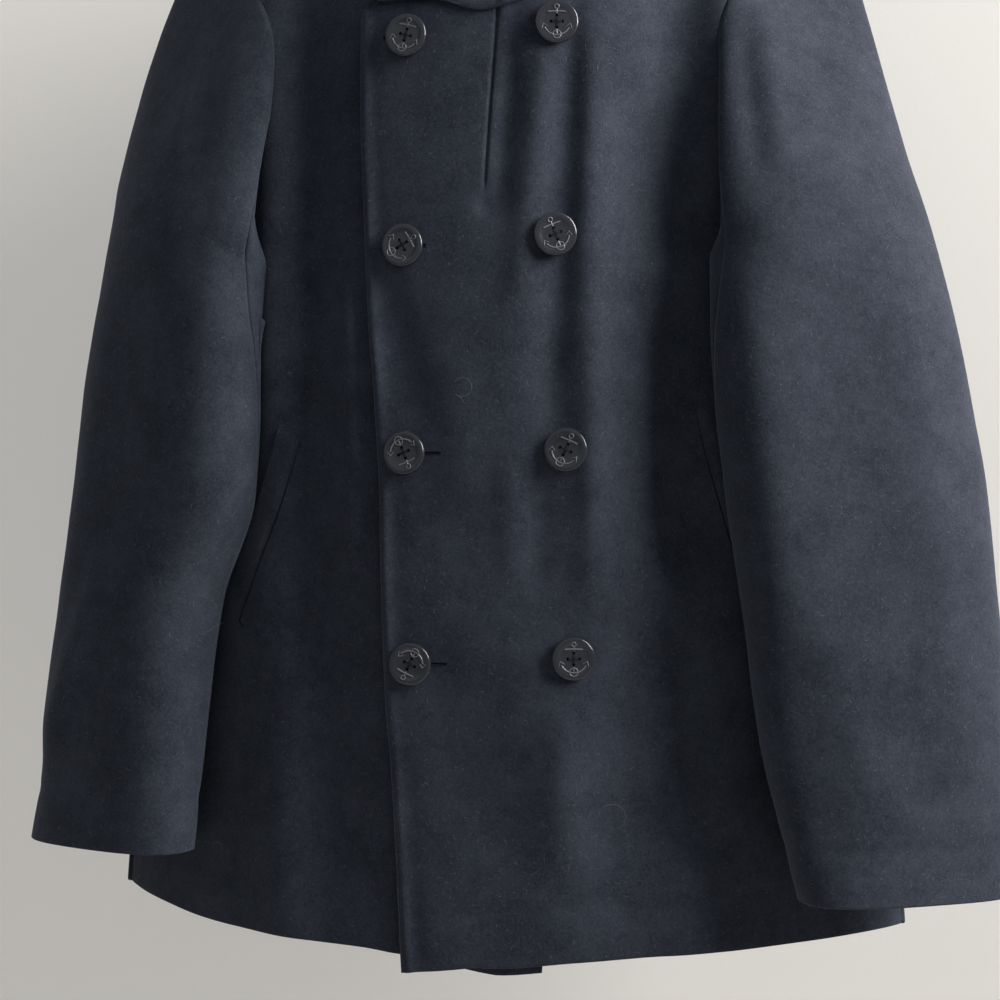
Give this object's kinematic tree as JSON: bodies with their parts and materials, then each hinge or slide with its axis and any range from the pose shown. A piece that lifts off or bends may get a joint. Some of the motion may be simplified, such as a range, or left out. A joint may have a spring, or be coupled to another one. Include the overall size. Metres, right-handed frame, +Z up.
{
  "type": "double-breasted pea coat on a wooden hanger",
  "caption": "Hip-length double-breasted wool pea coat with lapels, collar, slanted welt pockets and anchor-type buttons, hanging hollow on a plain wooden hanger with a wire hook.",
  "frame": {"origin": "the point under the top of the hanger's hook, where a rail or peg holds it", "axes": "+Z up, -Y towards the front of the coat, +X towards the wearer's left"},
  "size_m": [0.6835, 0.1911, 0.8745],
  "materials": {
    "front_left": "dark navy melton wool with a short raised nap",
    "front_right": "dark navy melton wool with a short raised nap",
    "back_left": "dark navy melton wool with a short raised nap",
    "back_right": "dark navy melton wool with a short raised nap",
    "top_sleeve_left": "dark navy melton wool with a short raised nap",
    "top_sleeve_right": "dark navy melton wool with a short raised nap",
    "under_sleeve_left": "dark navy melton wool with a short raised nap",
    "under_sleeve_right": "dark navy melton wool with a short raised nap",
    "collar": "dark navy melton wool with a short raised nap",
    "lapel_left": "dark navy melton wool with a short raised nap",
    "lapel_right": "dark navy melton wool with a short raised nap",
    "welt_left": "dark navy melton wool with a short raised nap",
    "welt_right": "dark navy melton wool with a short raised nap",
    "button_1": "glossy black-navy plastic",
    "button_2": "glossy black-navy plastic",
    "button_3": "glossy black-navy plastic",
    "button_4": "glossy black-navy plastic",
    "button_5": "glossy black-navy plastic",
    "button_6": "glossy black-navy plastic",
    "button_7": "glossy black-navy plastic",
    "button_8": "glossy black-navy plastic",
    "hanger": "varnished beech",
    "hanger_hook": "plain drawn wire"
  },
  "bodies": {
    "root": {"front_left": "front_left", "front_right": "front_right", "back_left": "back_left", "back_right": "back_right", "top_sleeve_left": "top_sleeve_left", "top_sleeve_right": "top_sleeve_right", "under_sleeve_left": "under_sleeve_left", "under_sleeve_right": "under_sleeve_right", "collar": "collar", "lapel_left": "lapel_left", "lapel_right": "lapel_right", "welt_left": "welt_left", "welt_right": "welt_right", "button_1": "button_1", "button_2": "button_2", "button_3": "button_3", "button_4": "button_4", "button_5": "button_5", "button_6": "button_6", "button_7": "button_7", "button_8": "button_8", "hanger": "hanger", "hanger_hook": "hanger_hook"}
  },
  "joints": []
}
